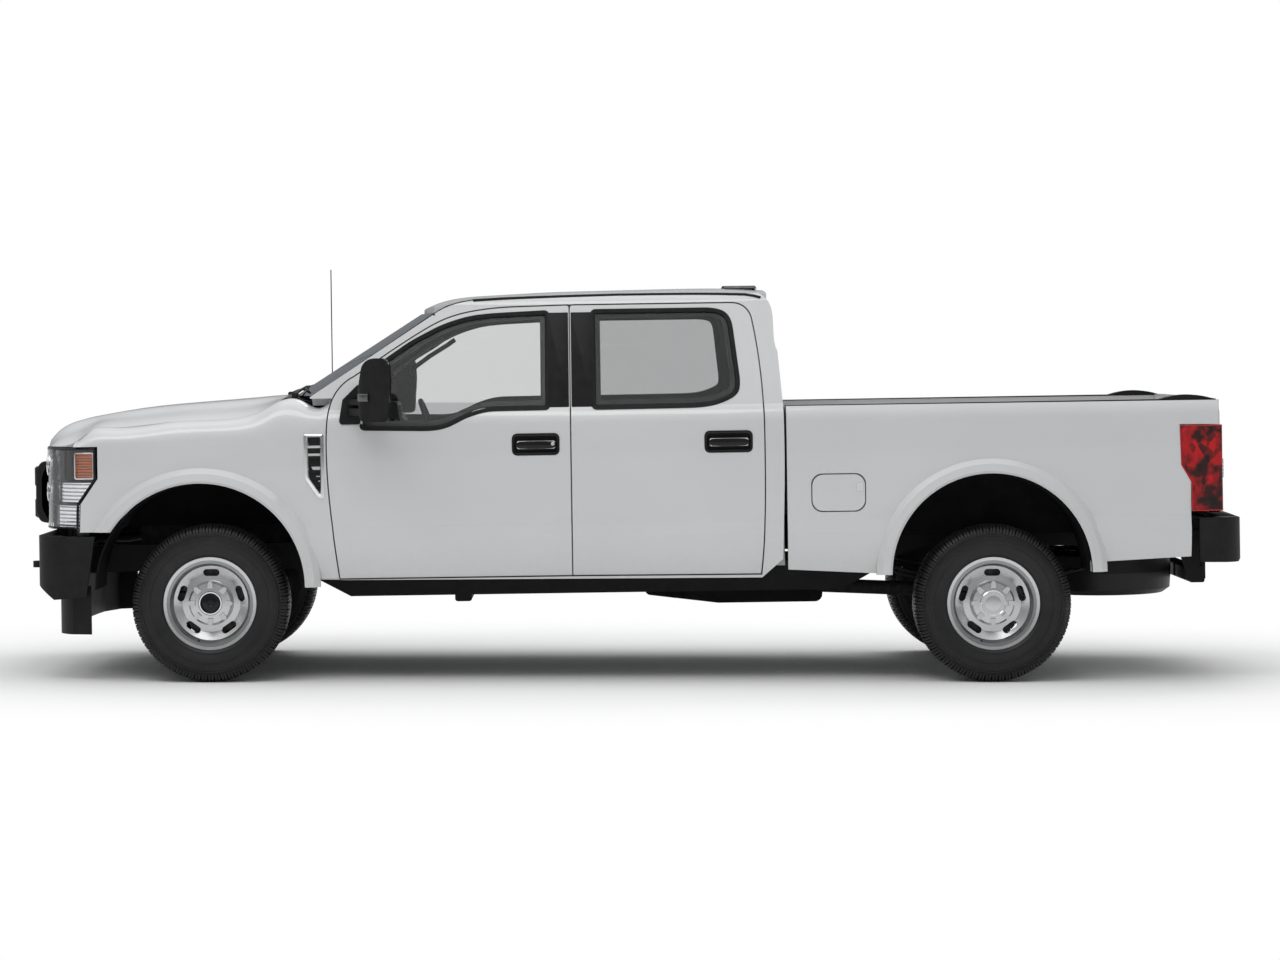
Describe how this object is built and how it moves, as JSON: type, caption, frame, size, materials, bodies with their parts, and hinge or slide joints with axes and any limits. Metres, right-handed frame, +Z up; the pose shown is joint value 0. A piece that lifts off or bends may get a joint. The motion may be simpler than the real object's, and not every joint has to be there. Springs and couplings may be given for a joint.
{
  "type": "pickup truck",
  "caption": "Crew-cab heavy-duty pickup truck with a load bed, opening doors, hood and tailgate, steered front wheels and a hitch receiver.",
  "frame": {"origin": "on the ground, under the centre of the bounding box", "axes": "+X to the rear, +Y to the truck's right side, +Z up"},
  "size_m": [6.3763, 2.6888, 2.1745],
  "materials": {
    "paint": "gloss",
    "trim_black": "matte",
    "chassis_black": "satin",
    "tyre_rubber": "matte",
    "wheel_silver": "satin",
    "glazing": "gloss",
    "lamp_clear": "gloss",
    "lamp_red": "gloss",
    "seat_cloth": "matte",
    "cabin_plastic": "matte",
    "cast_iron": "matte",
    "steel": "satin"
  },
  "bodies": {
    "chassis": {"antenna": "trim_black", "axles": "chassis_black", "bed_floor": "paint", "bed_rail_caps": "trim_black", "bed_sides": "paint", "cab_back": "paint", "cab_floor": "paint", "cab_glass": "glazing", "cab_roof": "paint", "cab_sides": "paint", "core_support": "chassis_black", "dashboard": "cabin_plastic", "exhaust": "steel", "fenders": "paint", "front_bumper": "trim_black", "fuel_tank": "chassis_black", "grille": "trim_black", "headlamps": "lamp_clear", "hitch_receiver": "chassis_black", "ladder_frame": "chassis_black", "powertrain": "cast_iron", "rear_bumper": "trim_black", "rear_lamps": "lamp_red", "seats": "seat_cloth", "spare_wheel": "tyre_rubber", "springs": "chassis_black", "wheel_liners": "trim_black"},
    "door_front_left": {"door_front_left": "paint", "glass_front_left": "glazing", "mirror_left": "trim_black"},
    "door_front_right": {"door_front_right": "paint", "glass_front_right": "glazing", "mirror_right": "trim_black"},
    "door_rear_left": {"door_rear_left": "paint", "glass_rear_left": "glazing"},
    "door_rear_right": {"door_rear_right": "paint", "glass_rear_right": "glazing"},
    "hood": {"hood": "paint"},
    "tailgate": {"tailgate": "paint"},
    "fuel_door": {"fuel_door": "paint"},
    "knuckle_left": {"knuckle_left": "steel"},
    "knuckle_right": {"knuckle_right": "steel"},
    "tie_rod": {"tie_rod": "steel"},
    "wheel_front_left": {"rim_front_left": "wheel_silver", "tyre_front_left": "tyre_rubber"},
    "wheel_front_right": {"rim_front_right": "wheel_silver", "tyre_front_right": "tyre_rubber"},
    "wheel_rear_left": {"rim_rear_left": "wheel_silver", "tyre_rear_left": "tyre_rubber"},
    "wheel_rear_right": {"rim_rear_right": "wheel_silver", "tyre_rear_right": "tyre_rubber"}
  },
  "joints": [
    {"name": "door_front_left_hinge", "type": "hinge", "parent": "chassis", "child": "door_front_left", "pos_m": [-1.58514, -0.992, 1.22209], "axis": [0.0148, 0, -0.9999], "range_deg": [0, 65]},
    {"name": "door_rear_left_hinge", "type": "hinge", "parent": "chassis", "child": "door_rear_left", "pos_m": [-0.31978, -0.992, 1.24087], "axis": [0.0148, 0, -0.9999], "range_deg": [0, 68]},
    {"name": "door_front_right_hinge", "type": "hinge", "parent": "chassis", "child": "door_front_right", "pos_m": [-1.58514, 0.992, 1.22209], "axis": [-0.0148, 0, 0.9999], "range_deg": [0, 65]},
    {"name": "door_rear_right_hinge", "type": "hinge", "parent": "chassis", "child": "door_rear_right", "pos_m": [-0.31978, 0.992, 1.24087], "axis": [-0.0148, 0, 0.9999], "range_deg": [0, 68]},
    {"name": "hood_hinge", "type": "hinge", "parent": "chassis", "child": "hood", "pos_m": [-1.84499, 0, 1.48027], "axis": [0, 1, 0], "range_deg": [0, 48]},
    {"name": "tailgate_hinge", "type": "hinge", "parent": "chassis", "child": "tailgate", "pos_m": [3.02896, 0, 0.91251], "axis": [0, 1, 0], "range_deg": [0, 90]},
    {"name": "fuel_door_hinge", "type": "hinge", "parent": "chassis", "child": "fuel_door", "pos_m": [0.92573, -0.987, 0.98032], "axis": [0.0148, 0, -0.9999], "range_deg": [0, 100]},
    {"name": "steer_left", "type": "hinge", "parent": "chassis", "child": "knuckle_left", "pos_m": [-2.18907, -0.76, 0.408], "axis": [0, 0, 1], "range_deg": [-34, 34]},
    {"name": "steer_right", "type": "hinge", "parent": "chassis", "child": "knuckle_right", "pos_m": [-2.18907, 0.76, 0.408], "axis": [0, 0, 1], "range_deg": [-34, 34]},
    {"name": "tie_rod_pivot", "type": "hinge", "parent": "knuckle_left", "child": "tie_rod", "pos_m": [-2.32407, -0.76, 0.3], "axis": [0, 0, 1], "range_deg": [-34, 34]},
    {"name": "wheel_front_left_spin", "type": "hinge", "parent": "knuckle_left", "child": "wheel_front_left", "pos_m": [-2.18907, -0.868, 0.408], "axis": [0, 1, 0], "continuous": true},
    {"name": "wheel_rear_left_spin", "type": "hinge", "parent": "chassis", "child": "wheel_rear_left", "pos_m": [1.86432, -0.853, 0.408], "axis": [0, 1, 0], "continuous": true},
    {"name": "wheel_front_right_spin", "type": "hinge", "parent": "knuckle_right", "child": "wheel_front_right", "pos_m": [-2.18907, 0.868, 0.408], "axis": [0, 1, 0], "continuous": true},
    {"name": "wheel_rear_right_spin", "type": "hinge", "parent": "chassis", "child": "wheel_rear_right", "pos_m": [1.86432, 0.853, 0.408], "axis": [0, 1, 0], "continuous": true}
  ],
  "couplings": [
    {"joint": "steer_right", "follows": "steer_left", "ratio": 1},
    {"joint": "tie_rod_pivot", "follows": "steer_left", "ratio": -1}
  ]
}
